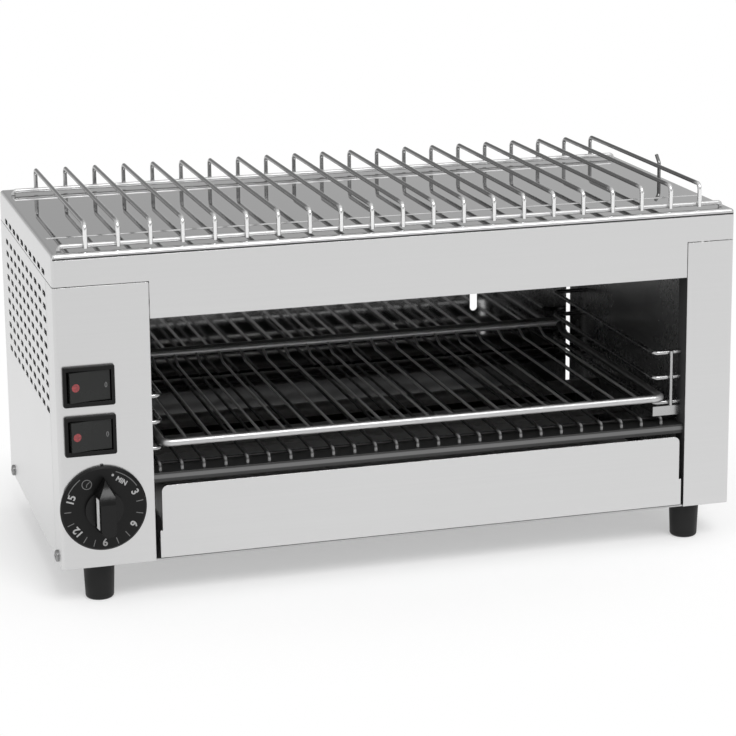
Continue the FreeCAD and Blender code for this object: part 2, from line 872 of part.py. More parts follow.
def timer_body():
    """The clockwork case behind the panel with its threaded bush."""
    half = timer_body_side / 2
    y0 = y_front + skin
    case = block(x_timer - half, x_timer + half, y0, y0 + timer_body_depth, z_timer - half, z_timer + half)
    bush_end = V(x_timer, y_front - bush_nut_thickness - slide_clearance, z_timer)
    bush = rod(bush_end, V(x_timer, y0, z_timer), bush_diameter)
    bore_end = V(x_timer, y0 + shaft_in_body + slide_clearance, z_timer)
    bore = rod(bush_end - V(0, skin, 0), bore_end, shaft_diameter + running_clearance * 2)
    return case.fuse(bush).cut(bore)


def timer_shaft():
    """The timer's spindle, which turns with the knob."""
    y0 = y_knob_back - knob_boss_height - grip_height / 2
    return rod(V(x_timer, y0, z_timer), V(x_timer, y_front + skin + shaft_in_body, z_timer), shaft_diameter)


def grip_outline(y, inset):
    """The knob grip's outline at one depth: pointed above, round below."""
    half = grip_width / 2 - inset
    tip = grip_tip - inset
    tail = grip_tail - inset
    shoulder = tip - half * 1.6
    left_foot = V(x_timer - half, y, z_timer - tail + half)
    right_foot = V(x_timer + half, y, z_timer - tail + half)
    left_shoulder = V(x_timer - half, y, z_timer + shoulder)
    right_shoulder = V(x_timer + half, y, z_timer + shoulder)
    point = V(x_timer, y, z_timer + tip)
    edges = [
        Part.Arc(left_foot, V(x_timer, y, z_timer - tail), right_foot).toShape(),
        Part.LineSegment(right_foot, right_shoulder).toShape(),
        Part.LineSegment(right_shoulder, point).toShape(),
        Part.LineSegment(point, left_shoulder).toShape(),
        Part.LineSegment(left_shoulder, left_foot).toShape(),
    ]
    return Part.Wire(edges)


def timer_knob():
    """The knob: a round boss with a pointed bar grip that curves down to its tip."""
    back = V(x_timer, y_knob_back, z_timer)
    boss = Part.makeCylinder(knob_boss_diameter / 2, knob_boss_height, back, V(0, -1, 0))
    y0 = y_knob_back - knob_boss_height / 2
    y1 = y_knob_back - knob_boss_height - grip_height
    grip = Part.makeLoft([grip_outline(y0, 0), grip_outline(y1, grip_draft)], True, True)
    beyond = grip_tip + grip_width
    top = V(0, y1, z_timer + grip_ramp_top)
    foot_end = V(0, y_knob_back - knob_boss_height - grip_ramp_foot, z_timer + grip_tip)
    outward = V(0, top.z - foot_end.z, foot_end.y - top.y).normalize()
    crown = (top + foot_end) * 0.5 + outward * grip_ramp_bulge
    corners = [
        foot_end,
        V(0, foot_end.y, z_timer + beyond),
        V(0, y1 - grip_height, z_timer + beyond),
        V(0, y1 - grip_height, top.z),
        top,
    ]
    edges = [Part.Arc(top, crown, foot_end).toShape()]
    edges += [Part.LineSegment(p, q).toShape() for p, q in zip(corners, corners[1:])]
    cutter = Part.Face(Part.Wire(edges)).extrude(V(beyond * 2, 0, 0))
    cutter.translate(V(x_timer - beyond, 0, 0))
    knob = boss.fuse(grip.cut(cutter)).removeSplitter()
    bore_end = y_knob_back - knob_boss_height - grip_height / 2
    bore = rod(back, V(x_timer, bore_end, z_timer), shaft_diameter)
    return knob.cut(bore)


def switch_housing(height):
    """One switch's bezel and case, with the pocket that its rocker works in."""
    z = z_base + height
    y0 = y_front - bezel_proud
    bezel = block(x_switch - bezel_width / 2, x_switch + bezel_width / 2, y0, y_front,
                  z - bezel_height / 2, z + bezel_height / 2)
    upright = [e for e in bezel.Edges if near(e.Length, bezel_proud)]
    bezel = bezel.makeFillet(bezel_round, upright)
    rim = edges_where(bezel, lambda p: near(p.y, y0))
    bezel = bezel.makeFillet(bezel_round / 2, rim)
    case = block(x_switch - switch_body_width / 2, x_switch + switch_body_width / 2,
                 y_front, y_front + switch_body_depth,
                 z - switch_body_height / 2, z + switch_body_height / 2)
    pocket = block(x_switch - switch_mouth_width / 2, x_switch + switch_mouth_width / 2,
                   y0, y_pivot + rocker_pocket_floor,
                   z - switch_mouth_height / 2, z + switch_mouth_height / 2)
    pin_reach = V(0, 0, switch_body_height / 2 + bezel_proud)
    pin_hole = rod(V(x_switch, y_pivot, z) - pin_reach, V(x_switch, y_pivot, z) + pin_reach,
                   rocker_pin_diameter + running_clearance * 2)
    inside = block(x_switch - bezel_width, x_switch + bezel_width, y_front, y_front + switch_body_depth,
                   z - bezel_height, z + bezel_height)
    return bezel.fuse(case).cut(pocket).cut(pin_hole.common(inside))


def rocker_profile():
    """The rocker's outline seen from above, in its middle position, before it is tilted."""
    points = [
        V(-rocker_half_width, -rocker_crest, 0),
        V(0, -rocker_valley, 0),
        V(rocker_half_width, -rocker_crest, 0),
        V(rocker_half_width, rocker_back, 0),
        V(-rocker_half_width, rocker_back, 0),
    ]
    return Part.Face(Part.makePolygon(points + points[:1]))


def placed_rocker(shape, height):
    """Tilts a shape made about the pivot to the off position and puts it in its switch."""
    shape = shape.copy()
    shape.rotate(V(0, 0, 0), V(0, 0, 1), rocker_tilt)
    shape.translate(V(x_switch, y_pivot, z_base + height))
    return shape


def lens_plug():
    """The lens as a short plug square to the rocker's left face."""
    slope = math.degrees(math.atan2(rocker_crest - rocker_valley, rocker_half_width))
    face_y = -rocker_valley - (rocker_crest - rocker_valley) * lens_offset / rocker_half_width
    plug = Part.makeCylinder(lens_diameter / 2, lens_depth, V(0, 0, 0), V(0, 1, 0))
    plug.rotate(V(0, 0, 0), V(0, 0, 1), slope)
    plug.translate(V(-lens_offset, face_y, 0))
    return plug


def rocker(height):
    """One rocker with its two pivot pins and the seat for its lens."""
    paddle = rocker_profile().extrude(V(0, 0, rocker_height))
    paddle.translate(V(0, 0, -rocker_height / 2))
    paddle = paddle.common(Part.makeCylinder(rocker_reach, rocker_height, V(0, 0, -rocker_height / 2)))
    pin_half = rocker_height / 2 + rocker_pin_length
    pins = rod(V(0, 0, -pin_half), V(0, 0, pin_half), rocker_pin_diameter)
    return placed_rocker(paddle.fuse(pins).removeSplitter().cut(lens_plug()), height)


def grill_wires():
    """The inverted-U wires that carry plates and cups."""
    z_plate = z_top + slide_clearance
    z_wire = z_top + grill_height
    z_foot = z_plate + grill_leg_lift
    reach = (grill_rod_diameter + grill_wire_diameter) / 2
    y0 = y_front + grill_front_setback - reach
    y1 = y_rear - grill_rear_inset + reach
    wires = []
    for x in evenly(-half_width + grill_side_inset, half_width - grill_side_inset, grill_wires_count):
        points = [V(x, y0, z_foot), V(x, y0, z_wire), V(x, y1, z_wire), V(x, y1, z_foot)]
        wires.append(bent_wire(points, grill_wire_diameter, grill_bend))
    return Part.makeCompound(wires)


def grill_rod(y):
    """One cross rod of the grill, its ends turned down to stand on the top cover."""
    x = half_width - grill_rod_inset
    z0 = z_top + slide_clearance
    z1 = z_top + grill_rod_height
    points = [V(-x, y, z0), V(-x, y, z1), V(x, y, z1), V(x, y, z0)]
    return bent_wire(points, grill_rod_diameter, grill_rod_bend)


def side_hook():
    """The bent pin that stands beside the grill, near the right edge of the top cover."""
    foot_point = V(half_width - hook_inset, y_front + hook_setback, z_top)
    elbow = foot_point + V(0, 0, hook_rise)
    tip = elbow + V(0, hook_lean, hook_lean)
    return bent_wire([foot_point, elbow, tip], hook_diameter, hook_bend)


def cord_gland():
    """The gland in the back panel where the supply cord would enter."""
    centre = V(-half_width + gland_inset_x, y_rear, z_base + gland_height)
    snout = rod(centre, centre + V(0, gland_proud, 0), gland_snout_diameter)
    flange = rod(centre, centre + V(0, gland_flange, 0), gland_flange_diameter)
    neck = rod(centre - V(0, skin, 0), centre, gland_body_diameter)
    collar = rod(centre - V(0, skin + gland_collar, 0), centre - V(0, skin, 0), gland_flange_diameter)
    body = snout.fuse(flange).fuse(neck).fuse(collar).removeSplitter()
    bore = rod(centre - V(0, skin + gland_collar, 0), centre + V(0, gland_proud, 0), gland_bore)
    return body.cut(bore)


def terminal_block():
    """The three-way supply terminal on the base pan."""
    x0 = -half_width + block_inset_x
    y0 = y_block
    body = block(x0, x0 + block_width, y0, y0 + block_length, z_floor, z_floor + block_height)
    wells = []
    for i in range(3):
        y = y0 + block_length * (i + 0.5) / 3
        place = V(x0 + block_width / 2, y, z_floor + block_height / 2)
        wells.append(Part.makeCylinder(block_width / 6, block_height / 2, place))
    return body.cut(Part.makeCompound(wells))


def earth_stud():
    """The earth stud on the base pan with its nut."""
    place = V(-half_width + earth_inset_x, y_block - earth_to_block, z_floor)
    stud = Part.makeCylinder(earth_diameter / 2, earth_length, place)
    nut = Part.makeCylinder(earth_nut_diameter / 2, earth_nut_height, place)
    return stud.fuse(nut).removeSplitter()


def internal_wires():
    """The leads from the terminal block to the timer, the switches and the gland."""
    x0 = -half_width + block_inset_x
    z = z_floor + wire_height
    y_switch = y_front + switch_body_depth
    y_case = y_front + skin + timer_body_depth
    wires = []
    runs = (
        (x0 + block_width * 0.2, z_timer, y_case, 25.0),
        (x0 + block_width * 0.5, z_base + lower_switch_height, y_switch, 35.0),
        (x0 + block_width * 0.8, z_base + upper_switch_height, y_switch, 45.0),
    )
    for x, z_end, y_end, lead in runs:
        points = [V(x, y_block, z), V(x, y_block - lead, z), V(x, y_block - lead, z_end), V(x, y_end, z_end)]
        wires.append(bent_wire(points, wire_diameter, wire_bend))
    gland = V(-half_width + gland_inset_x, y_rear - skin - gland_collar, z_base + gland_height)
    gland_rim = gland + V(0, 0, (gland_bore + wire_diameter) / 2)
    start = V(x0 + block_width * 0.5, y_block + block_length, z)
    turn = start + V(0, wire_bend * 1.5, 0)
    approach = gland_rim - V(0, wire_bend * 1.5, 0)
    wires.append(bent_wire([start, turn, approach, gland_rim], wire_diameter, wire_bend / 2))
    return Part.makeCompound(wires)


def pieces():
    """Every node's name and shape."""
    made = {
        "top_cover": top_cover(),
        "control_panel": control_panel(),
        "right_front_panel": mirrored(front_post(right_panel_width)),
        "left_side_panel": side_panel(),
        "right_side_panel": mirrored(side_panel()),
        "back_panel": back_panel(),
        "base_pan": base_pan(),
        "cavity_left_wall": cavity_side_wall(x_left_wall - liner),
        "cavity_right_wall": cavity_side_wall(x_right_wall),
        "cavity_back_wall": cavity_back_wall(),
        "cavity_roof": cavity_roof(),
        "heat_shield": heat_shield(),
        "lower_front_rail": lower_front_rail(),
        "upper_heating_coils": heating_coils(upper_tube_height),
        "lower_heating_coils": heating_coils(lower_tube_height),
        "tube_end_caps": tube_end_caps(),
        "terminal_straps": terminal_straps(),
        "upper_tube_guard": upper_tube_guard(),
        "lower_tube_guard": lower_tube_guard(),
        "left_runner": Part.makeCompound(runner(x_left_panel, x_left_wall, x_runner_left)),
        "right_runner": Part.makeCompound(
            runner(x_right_panel, x_right_wall, x_runner_right) + [runner_post(), stop_plate()]),
        "rack_frame": rack_frame(),
        "rack_wires": rack_wires(),
        "rack_rear_bar": rack_rear_bar(),
        "crumb_tray_front": crumb_tray_front(),
        "crumb_tray_pan": crumb_tray_pan(),
        "tray_guides": tray_guides(),
        "foot_screws": foot_screws(),
        "side_screws": side_screws(),
        "back_screws": back_screws(),
        "timer_dial": timer_dial(),
        "timer_nut": timer_nut(),
        "timer_body": timer_body(),
        "timer_shaft": timer_shaft(),
        "timer_knob": timer_knob(),
        "grill_wires": grill_wires(),
        "grill_front_rod": grill_rod(y_front + grill_front_setback),
        "grill_rear_rod": grill_rod(y_rear - grill_rear_inset),
        "side_hook": side_hook(),
        "cord_gland": cord_gland(),
        "terminal_block": terminal_block(),
        "earth_stud": earth_stud(),
        "internal_wires": internal_wires(),
    }
    for name, height in (("upper", upper_tube_height), ("lower", lower_tube_height)):
        for number, y in enumerate(tube_places(), start=1):
            made[f"{name}_quartz_tube_{number}"] = quartz_tube(y, height)
    for name, height in (("upper", upper_switch_height), ("lower", lower_switch_height)):
        made[f"{name}_switch_housing"] = switch_housing(height)
        made[f"{name}_rocker"] = rocker(height)
        made[f"{name}_lens"] = placed_rocker(lens_plug(), height)
    for name, centre in foot_places().items():
        made[name] = foot(centre)
    return made


os.makedirs("parts", exist_ok=True)
for node, shape in pieces().items():
    shape.exportStep(f"parts/{node}.step")
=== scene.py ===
import math

import bmesh
import bpy
from mathutils import Matrix, Vector


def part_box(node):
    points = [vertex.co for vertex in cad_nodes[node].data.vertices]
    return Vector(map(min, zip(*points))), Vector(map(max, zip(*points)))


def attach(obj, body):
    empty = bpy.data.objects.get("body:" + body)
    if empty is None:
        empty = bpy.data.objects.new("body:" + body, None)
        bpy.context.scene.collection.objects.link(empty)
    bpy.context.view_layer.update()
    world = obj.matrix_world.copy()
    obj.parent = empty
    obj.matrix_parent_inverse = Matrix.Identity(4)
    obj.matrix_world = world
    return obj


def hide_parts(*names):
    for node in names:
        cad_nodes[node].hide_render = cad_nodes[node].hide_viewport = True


# One-level quartz snack toaster on a pale floor. Metres, +Z up, the front looks towards -Y.

# Camera: angles in degrees, lens and sensor in millimetres
CAMERA_PLACE = (-0.4429, -1.5577, 0.5409)
CAMERA_YAW = 16.05
CAMERA_PITCH = 12.85
CAMERA_ROLL = -0.56
CAMERA_LENS = 120.4
CAMERA_SENSOR = 36.0
CAMERA_SHIFT_Y = -0.12

# Dial marks: angles are clockwise from the top, as seen from the front
DIAL_NUMBERS = (("3", 65), ("6", 122), ("9", 180), ("12", 231), ("15", 290))
DIAL_TICKS = (82, 102, 141, 160, 197, 213, 248, 269)
DIAL_DOT = 16
DIAL_UNIT = ("MIN", 34)
DIAL_CLOCK = 328
DIAL_ARCS = ((19, 58), (296, 324))
ARC_STEPS = 16
NUMBER_RADIUS = 0.0216
NUMBER_SIZE = 0.0066
UNIT_SIZE = 0.0042
UNIT_RADIUS = 0.0205
LETTER_WEIGHT = 0.00016
TICK_INNER = 0.0206
TICK_OUTER = 0.0250
ARC_RADIUS = 0.0247
CLOCK_PLACE = 0.0195
CLOCK_RADIUS = 0.0030
CLOCK_STEPS = 28
CLOCK_HANDS = ((0.6, 0.5), (-0.1, -0.6))
MARK_WIDTH = 0.00050
DOT_PLACE = 0.0222
DOT_RADIUS = 0.0004
DOT_STEPS = 12
DOT_WIDTH = 0.0008
MARK_THICKNESS = 0.00005

# Heating coils
COIL_PITCH = 0.0032
COIL_WIRE = 0.0009
COIL_STEPS = 10

# Rocker marks: the crease and the outer edge are found within the reach
ROCKER_REACH = 0.0012
ROCKER_MARK_OFFSET = 0.0102
ROCKER_MARK_HALF = (0.0006, 0.0015)
ROCKER_MARK_WIDTH = 0.0005
ROCKER_MARK_STEPS = 24

# Painted highlight: a white strip on the left flank of the knob's grip
GRIP_ROOT = 0.0020
GRIP_HALF_ROOT = 0.0065
GRIP_HALF_FACE = 0.0047
HIGHLIGHT_DEPTH = 0.0062
HIGHLIGHT_WIDTH = 0.0050
HIGHLIGHT_LOW = -0.0095
HIGHLIGHT_HIGH = 0.0100
HIGHLIGHT_THICKNESS = 0.00015

# Groove under the top cover's front fold, with a dark strip of painted shade at its bottom
GROOVE_DEPTH = 0.0005
GROOVE_MIDDLE = 0.00375
GROOVE_HEIGHT = 0.0010
FOLD_SHADE_MARGIN = 0.0010
FOLD_SHADE_THICKNESS = 0.0001

# Screw heads: their cross slots are dark crosses of painted shade
SCREW_SLOT_LENGTH = 0.0042
SCREW_SLOT_WIDTH = 0.0009
WELD_DISTANCE = 0.000001

# Noise scales along X, Y and Z: brushed grain is fine across its lines
GRAIN_EVEN = (500.0, 500.0, 500.0)
GRAIN_X = (3.0, 700.0, 700.0)
GRAIN_Y = (700.0, 3.0, 700.0)

# Options that several steels share
SHEET = {"smudge": 0.03, "relief": 0.0000004, "spread": 0.01, "vary": 0.008}
WIRE = {"smudge": 0.06, "relief": 0.000003, "edge": None}

# Steel without a pattern of its own: brightness, roughness and options
STEELS = {
    "back_steel": (0.67, 0.30, {"grain": GRAIN_X, **SHEET}),
    "side_steel": (0.70, 0.30, {"grain": GRAIN_Y, **SHEET}),
    "cavity_steel": (0.30, 0.20, {"grain": (4.0, 300.0, 300.0), "smudge": 0.10,
                                  "relief": 0.000002, "vary": 0.10, "metallic": 0.8}),
    "mirror_steel": (0.40, 0.05, {"grain": (4.0, 200.0, 200.0), "smudge": 0.02,
                                  "relief": 0.0000003, "spread": 0.008}),
    "plain_steel": (0.52, 0.36, {}),
    "tray_steel": (0.42, 0.60, {"grain": (3.0, 600.0, 600.0), "metallic": 0.1}),
    "rack_bar": (0.75, 0.45, {"metallic": 0.7, **WIRE}),
    "upper_guard": (0.05, 0.45, WIRE),
    "grill_rod": (0.62, 0.44, {"relief": 0.000001, "edge": None}),
    "hook_wire": (0.24, 0.16, {"relief": 0.000002, "edge": None}),
    "plated": (0.30, 0.24, {"smudge": 0.08, "relief": 0.000003, "edge": 0.0003}),
    "contact_metal": (0.7, 0.25, {}),
}

# Wires whose brightness changes along Y: (place along Y, brightness) stops, roughness and metallic
# share, and how far along Y the change wanders
WIRE_DEPTH_BANDS = {
    # Painted highlight on the rack's front bar, painted shade on the frame deeper in the cavity
    "rack_frame": (((-0.100, 0.56), (-0.086, 0.26), (0.09, 0.16)), 0.42, 1.0),
    "rack_wire": (((-0.09, 0.42), (0.06, 0.60)), 0.36, 0.8),
    # Painted light on the runners' front ends at the opening, painted shade further in
    "runner_wire": (((-0.0955, 0.46), (-0.080, 0.09)), 0.26, 1.0),
    # Painted reflection of the floor on the grill's front and rear legs, darker tops between
    "grill_wire": (((-0.0995, 0.86), (-0.0915, 0.16), (0.0925, 0.16), (0.0970, 0.50)), 0.16, 1.0),
}
BAND_WANDER = 0.0012

# Plastics, rubber and ceramic: brightness, roughness and options
MARK = {"edge": None, "specular": 0.2}
PLASTICS = {
    "black_plastic": (0.0045, 0.34, {"specular": 0.22}),
    "knob_plastic": (0.0035, 0.24, {"specular": 0.28}),
    "rocker_plastic": (0.016, 0.26, {"specular": 0.3, "tint": (0.95, 1.0, 0.96)}),
    "timer_case": (0.18, 0.45, {}),
    "white_plastic": (0.75, 0.40, {}),
    "wire_sleeve": (0.60, 0.70, {"tint": (1.0, 0.96, 0.85)}),
    "rubber": (0.010, 0.50, {"edge": 0.0006, "specular": 0.25}),
    "mark_white": (0.42, 0.50, MARK),
    "mark_grey": (0.16, 0.50, MARK),
    # Painted highlight on the left flank of the knob's grip
    "highlight_white": (0.80, 0.35, {"edge": None}),
    # Painted shade of the screws' cross slots
    "slot_shade": (0.012, 0.60, MARK),
    # Painted shade in the groove under the top cover's fold
    "groove_shade_grey": (0.06, 0.60, MARK),
    "ceramic": (0.78, 0.55, {"tint": (1.0, 0.98, 0.94)}),
}

# Lower guard: (height above its lowest point, brightness) stops of the turned-down fronts,
# with a painted glint at their lower ends
HOOK_GLINT_STOPS = ((0.0, 0.32), (0.0016, 0.32), (0.0028, 0.05), (0.0100, 1.0))
# Lower guard: (place along Y, brightness) stops, painted shade behind its front
GUARD_SHADE_STOPS = ((-0.0975, 1.0), (-0.0915, 0.06))

# Front sheets: the painted shade on their faces towards the cavity, which are also dull
INNER_MARGIN = 0.0015
INNER_DEPTH = 0.0005
INNER_SHADE = 0.06
INNER_DULLNESS = 0.95

# Top cover: the upward part of the normal over which its fold turns from skirt to plate
FOLD_SPAN = (0.80, 0.98)
PLATE = {"brightness": 0.53, "roughness": 0.018}
SKIRT = {"brightness": 0.67, "roughness": 0.30}

# Lower front rail: (drop from its top, brightness) stops: painted shade on its face, with a
# painted highlight line along its fold
RAIL_STOPS = ((0.0060, 0.05), (0.0040, 0.05), (0.0036, 0.17),
              (0.0014, 0.17), (0.0010, 0.05), (0.0, 0.05))

# Floor: brightness for bounced light and as seen, and the oval in which it keeps its shadow
FLOOR_SIZE = 40.0
FLOOR_BOUNCE = 0.80
FLOOR_SEEN = 0.97
FLOOR_ROUGHNESS = 0.9
SHADOW_REACH = (0.27, 0.17)
SHADOW_FADE = (0.85, 1.7)
SHADOW_LIFT = 0.35

# World: (height, brightness) stops, and strengths over a span of the sideways direction
WORLD_STOPS = ((0.0, 1.0), (0.06, 1.0), (0.16, 0.55), (0.45, 0.45), (0.7, 0.8), (1.0, 0.9))
WORLD_SIDE = (0.86, 1.04)
WORLD_SIDE_SPAN = (0.08, 0.42)

# Lamps: name, direction of the light, angle in degrees and strength
LAMPS = (("key", (-0.1, 0.62, -0.78), 30, 1.4), ("fill", (0.8, 0.45, -0.6), 50, 0.3))

# The finish of every CAD node
FINISHES = {
    "top_cover": "top_steel",
    "control_panel": "front_steel",
    "right_front_panel": "front_steel",
    "crumb_tray_front": "front_steel",
    "lower_front_rail": "rail_steel",
    "back_panel": "back_steel",
    "left_side_panel": "side_steel",
    "right_side_panel": "side_steel",
    "cavity_left_wall": "cavity_steel",
    "cavity_right_wall": "cavity_steel",
    "cavity_back_wall": "mirror_steel",
    "cavity_roof": "cavity_steel",
    "base_pan": "plain_steel",
    "heat_shield": "plain_steel",
    "crumb_tray_pan": "tray_steel",
    "tray_guides": "plain_steel",
    "tube_end_caps": "ceramic",
    "terminal_straps": "contact_metal",
    "earth_stud": "contact_metal",
    "upper_tube_guard": "upper_guard",
    "lower_tube_guard": "guard_wire",
    "left_runner": "runner_wire",
    "right_runner": "runner_wire",
    "rack_frame": "rack_frame",
    "rack_wires": "rack_wire",
    "rack_rear_bar": "rack_bar",
    "grill_wires": "grill_wire",
    "grill_front_rod": "grill_rod",
    "grill_rear_rod": "grill_rod",
    "side_hook": "hook_wire",
    "foot_screws": "plated",
    "side_screws": "plated",
    "back_screws": "plated",
    "timer_nut": "plated",
    "timer_shaft": "plated",
    "timer_dial": "black_plastic",
    "timer_knob": "knob_plastic",
    "timer_body": "timer_case",
    "upper_switch_housing": "black_plastic",
    "lower_switch_housing": "black_plastic",
    "upper_rocker": "rocker_plastic",
    "lower_rocker": "rocker_plastic",
    "upper_lens": "red_lens",
    "lower_lens": "red_lens",
    "upper_heating_coils": "coil",
    "lower_heating_coils": "coil",
    "cord_gland": "black_plastic",
    "terminal_block": "white_plastic",
    "internal_wires": "wire_sleeve",
    **{f"foot_{end}_{side}": "rubber" for end in ("front", "rear") for side in ("left", "right")},
    **{f"{bank}_quartz_tube_{n}": "quartz" for bank in ("upper", "lower") for n in (1, 2, 3)},
}


def shade(value, tint=(1.0, 1.0, 1.0)):
    """A grey of the given brightness with a slight tint."""
    return tuple(value * t for t in tint)


def new_material(name, color, metallic, roughness):
    """A material with one Principled shader, and the material's tree and that shader."""
    material = bpy.data.materials.new(name)
    material.use_nodes = True
    tree = material.node_tree
    shader = tree.nodes["Principled BSDF"]
    shader.inputs["Base Color"].default_value = (*color, 1.0)
    shader.inputs["Metallic"].default_value = metallic
    shader.inputs["Roughness"].default_value = roughness
    return material, tree, shader


def feed(tree, socket, source):
    """Links a node's input to another node's output, or sets it to a number or colour."""
    if isinstance(source, (float, tuple)):
        socket.default_value = source
    else:
        tree.links.new(source, socket)


def math_node(tree, operation, first, second):
    """A math node on two sockets or numbers."""
    node = tree.nodes.new("ShaderNodeMath")
    node.operation = operation
    for socket, source in zip(node.inputs, (first, second)):
        feed(tree, socket, source)
    return node.outputs[0]


def mix_color(tree, blend, factor, first, second):
    """A mix node on two sockets or colours."""
    mix = tree.nodes.new("ShaderNodeMix")
    mix.data_type = "RGBA"
    mix.blend_type = blend
    for name, source in (("Factor", factor), ("A", first), ("B", second)):
        feed(tree, mix.inputs[name], source)
    return mix.outputs["Result"]


def coordinates(tree, kind="Object"):
    """One kind of texture coordinates, split into X, Y and Z sockets."""
    place = tree.nodes.new("ShaderNodeTexCoord")
    split = tree.nodes.new("ShaderNodeSeparateXYZ")
    tree.links.new(place.outputs[kind], split.inputs["Vector"])
    return split.outputs


def scaled_place(tree, scale):
    """The object-space place, scaled along the axes."""
    place = tree.nodes.new("ShaderNodeTexCoord")
    mapping = tree.nodes.new("ShaderNodeMapping")
    mapping.inputs["Scale"].default_value = scale
    tree.links.new(place.outputs["Object"], mapping.inputs["Vector"])
    return mapping.outputs["Vector"]


def noise(tree, scale, detail, stretch=(1.0, 1.0, 1.0)):
    """A noise texture in object space, stretched along the axes."""
    texture = tree.nodes.new("ShaderNodeTexNoise")
    texture.inputs["Scale"].default_value = scale
    texture.inputs["Detail"].default_value = detail
    tree.links.new(scaled_place(tree, stretch), texture.inputs["Vector"])
    return texture.outputs["Fac"]


def ramp_value(tree, source, low, high, start=0.3, end=0.7):
    """Maps a value to a range."""
    spread = tree.nodes.new("ShaderNodeMapRange")
    spread.inputs["From Min"].default_value = start
    spread.inputs["From Max"].default_value = end
    spread.inputs["To Min"].default_value = low
    spread.inputs["To Max"].default_value = high
    tree.links.new(source, spread.inputs["Value"])
    return spread.outputs["Result"]


def color_stops(tree, source, stops):
    """Maps a value to a run of colours: stops are pairs of a position and a colour."""
    ramp = tree.nodes.new("ShaderNodeValToRGB")
    elements = ramp.color_ramp.elements
    while len(elements) < len(stops):
        elements.new(1.0)
    for element, (position, color) in zip(elements, stops):
        element.position = position
        element.color = (*color, 1.0)
    tree.links.new(source, ramp.inputs["Fac"])
    return ramp.outputs["Color"]


def ramp_color(tree, source, dark, light, start=0.3, end=0.7):
    """Maps a value to a run between two colours."""
    return color_stops(tree, source, ((start, dark), (end, light)))


def place_color(tree, source, stops):
    """Greys along a coordinate: stops are pairs of a place in metres and a brightness."""
    first, last = stops[0][0], stops[-1][0]
    share = ramp_value(tree, source, 0.0, 1.0, first, last)
    return color_stops(tree, share, [((place - first) / (last - first), shade(value))
                                     for place, value in stops])


def linked_source(shader, name):
    """What one of the shader's inputs is linked to."""
    return shader.inputs[name].links[0].from_socket


def multiply_color(tree, shader, color):
    """Multiplies what the shader's base colour is linked to by another colour."""
    product = mix_color(tree, "MULTIPLY", 1.0, linked_source(shader, "Base Color"), color)
    tree.links.new(product, shader.inputs["Base Color"])


def add_bump(tree, shader, source, depth, edge=None):
    """Feeds a value to the shader's normal as small relief, over softened edges."""
    bump = tree.nodes.new("ShaderNodeBump")
    bump.inputs["Strength"].default_value = 1.0
    bump.inputs["Distance"].default_value = depth
    tree.links.new(source, bump.inputs["Height"])
    if edge:
        bevel = tree.nodes.new("ShaderNodeBevel")
        bevel.samples = 4
        bevel.inputs["Radius"].default_value = edge
        tree.links.new(bevel.outputs["Normal"], bump.inputs["Normal"])
    tree.links.new(bump.outputs["Normal"], shader.inputs["Normal"])


def steel(name, value, roughness, grain=GRAIN_EVEN, smudge=0.05, relief=0.000004, edge=0.0004,
          spread=0.03, vary=0.03, metallic=1.0):
    """Stainless steel: brushed along the grain's coarse axis, with faint handling smudges."""
    material, tree, shader = new_material(name, shade(value), metallic, roughness)
    lines = noise(tree, scale=1.0, detail=4.0, stretch=grain)
    clouds = noise(tree, scale=9.0, detail=3.0)
    fine = ramp_value(tree, lines, roughness - spread, roughness + spread)
    tree.links.new(math_node(tree, "ADD", fine, ramp_value(tree, clouds, 0.0, smudge)),
                   shader.inputs["Roughness"])
    tree.links.new(ramp_color(tree, lines, shade(value * (1 - vary)), shade(value * (1 + vary))),
                   shader.inputs["Base Color"])
    add_bump(tree, shader, lines, relief, edge)
    return material, tree, shader


def front_sheet(name, value, roughness):
    """Brushed front steel whose faces towards the cavity get painted shade and are dull."""
    material, tree, shader = steel(name, value, roughness, GRAIN_X, **SHEET)
    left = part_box("cavity_left_wall")[0].x - INNER_MARGIN
    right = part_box("cavity_right_wall")[1].x + INNER_MARGIN
    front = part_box("right_front_panel")[0].y + INNER_DEPTH
    place = coordinates(tree)
    inside = math_node(tree, "GREATER_THAN", place["Y"], front)
    inside = math_node(tree, "MULTIPLY", inside, math_node(tree, "GREATER_THAN", place["X"], left))
    inside = math_node(tree, "MULTIPLY", inside, math_node(tree, "LESS_THAN", place["X"], right))
    # Painted shade on the faces towards the cavity
    multiply_color(tree, shader,
                   ramp_color(tree, inside, shade(1.0), shade(INNER_SHADE), 0.0, 1.0))
    dull = ramp_value(tree, inside, 0.0, INNER_DULLNESS, 0.0, 1.0)
    tree.links.new(math_node(tree, "MAXIMUM", linked_source(shader, "Roughness"), dull),
                   shader.inputs["Roughness"])
    tree.links.new(ramp_value(tree, inside, 1.0, 0.0, 0.0, 1.0), shader.inputs["Metallic"])
    return material


def folded_cover(name, plate, skirt):
    """A mirror-like top plate whose folded skirt is brushed."""
    material, tree, shader = steel(name, 1.0, plate["roughness"], GRAIN_X, smudge=0.006,
                                   relief=0.0000003, spread=0.006, vary=0.008)
    level = ramp_value(tree, coordinates(tree, "Normal")["Z"], 0.0, 1.0, *FOLD_SPAN)
    greys = shade(skirt["brightness"]), shade(plate["brightness"])
    multiply_color(tree, shader, ramp_color(tree, level, *greys, 0.0, 1.0))
    rougher = ramp_value(tree, level, skirt["roughness"] - plate["roughness"], 0.0, 0.0, 1.0)
    tree.links.new(math_node(tree, "ADD", linked_source(shader, "Roughness"), rougher),
                   shader.inputs["Roughness"])
    return material


def banded_rail(name, roughness):
    """The rail with painted shade on its face and a painted highlight line along its fold."""
    material, tree, shader = steel(name, 1.0, roughness, (3.0, 900.0, 900.0), relief=0.000001,
                                   spread=0.012, metallic=0.7)
    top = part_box("lower_front_rail")[1].z
    stops = [(top - drop, value) for drop, value in RAIL_STOPS]
    multiply_color(tree, shader, place_color(tree, coordinates(tree)["Z"], stops))
    return material


